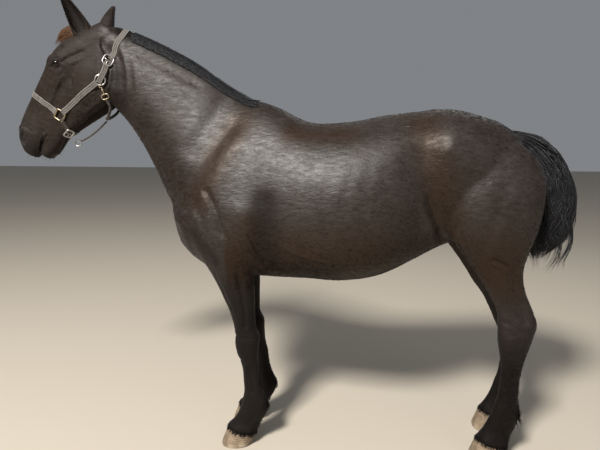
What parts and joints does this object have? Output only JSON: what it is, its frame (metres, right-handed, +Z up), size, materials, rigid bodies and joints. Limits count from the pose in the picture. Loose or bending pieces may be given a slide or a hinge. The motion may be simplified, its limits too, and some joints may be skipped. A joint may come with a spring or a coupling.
{
  "type": "horse",
  "caption": "Life-size dark brown cob horse standing still with its head raised, wearing a webbing halter with metal rings; short mane, tufted forelock, bushy hanging tail.",
  "frame": {"origin": "middle of the bounding box at floor level, under the belly", "axes": "+X towards the tail, the horse faces -X; +Y towards its right side; +Z up"},
  "size_m": [2.5483, 0.6307, 2.0648],
  "materials": {
    "coat": "short sleek hair coat, near-black brown with a soft sheen, sun-bleached brown on flank and shoulder",
    "hair": "coarse long hair, blue-black",
    "hoof": "horn, sand-coloured, dusty, matt",
    "eye": "wet, dark brown",
    "strap": "worn grey-brown stitched webbing",
    "steel": "nickel-plated steel, worn",
    "brass": "dull brass"
  },
  "bodies": {
    "root": {"head": "coat", "neck": "coat", "trunk": "coat", "fore_leg_left": "coat", "fore_leg_right": "coat", "hind_leg_left": "coat", "hind_leg_right": "coat", "ear_left": "coat", "ear_right": "coat", "eye_left": "eye", "eye_right": "eye", "hoof_fore_left": "hoof", "hoof_fore_right": "hoof", "hoof_hind_left": "hoof", "hoof_hind_right": "hoof", "mane": "hair", "forelock": "hair", "tail": "hair", "halter_crown_strap": "strap", "halter_crown_end": "strap", "halter_cheek_strap_left": "strap", "halter_cheek_strap_right": "strap", "halter_noseband": "strap", "halter_chin_strap": "strap", "halter_throat_strap": "strap", "halter_link_strap": "strap", "halter_ring_left": "steel", "halter_ring_right": "steel", "halter_crown_buckle": "steel", "halter_chin_buckle": "steel", "halter_chin_ring": "steel", "halter_snap_left": "steel", "halter_snap_right": "steel", "halter_square_left": "brass", "halter_square_right": "brass"}
  },
  "joints": []
}
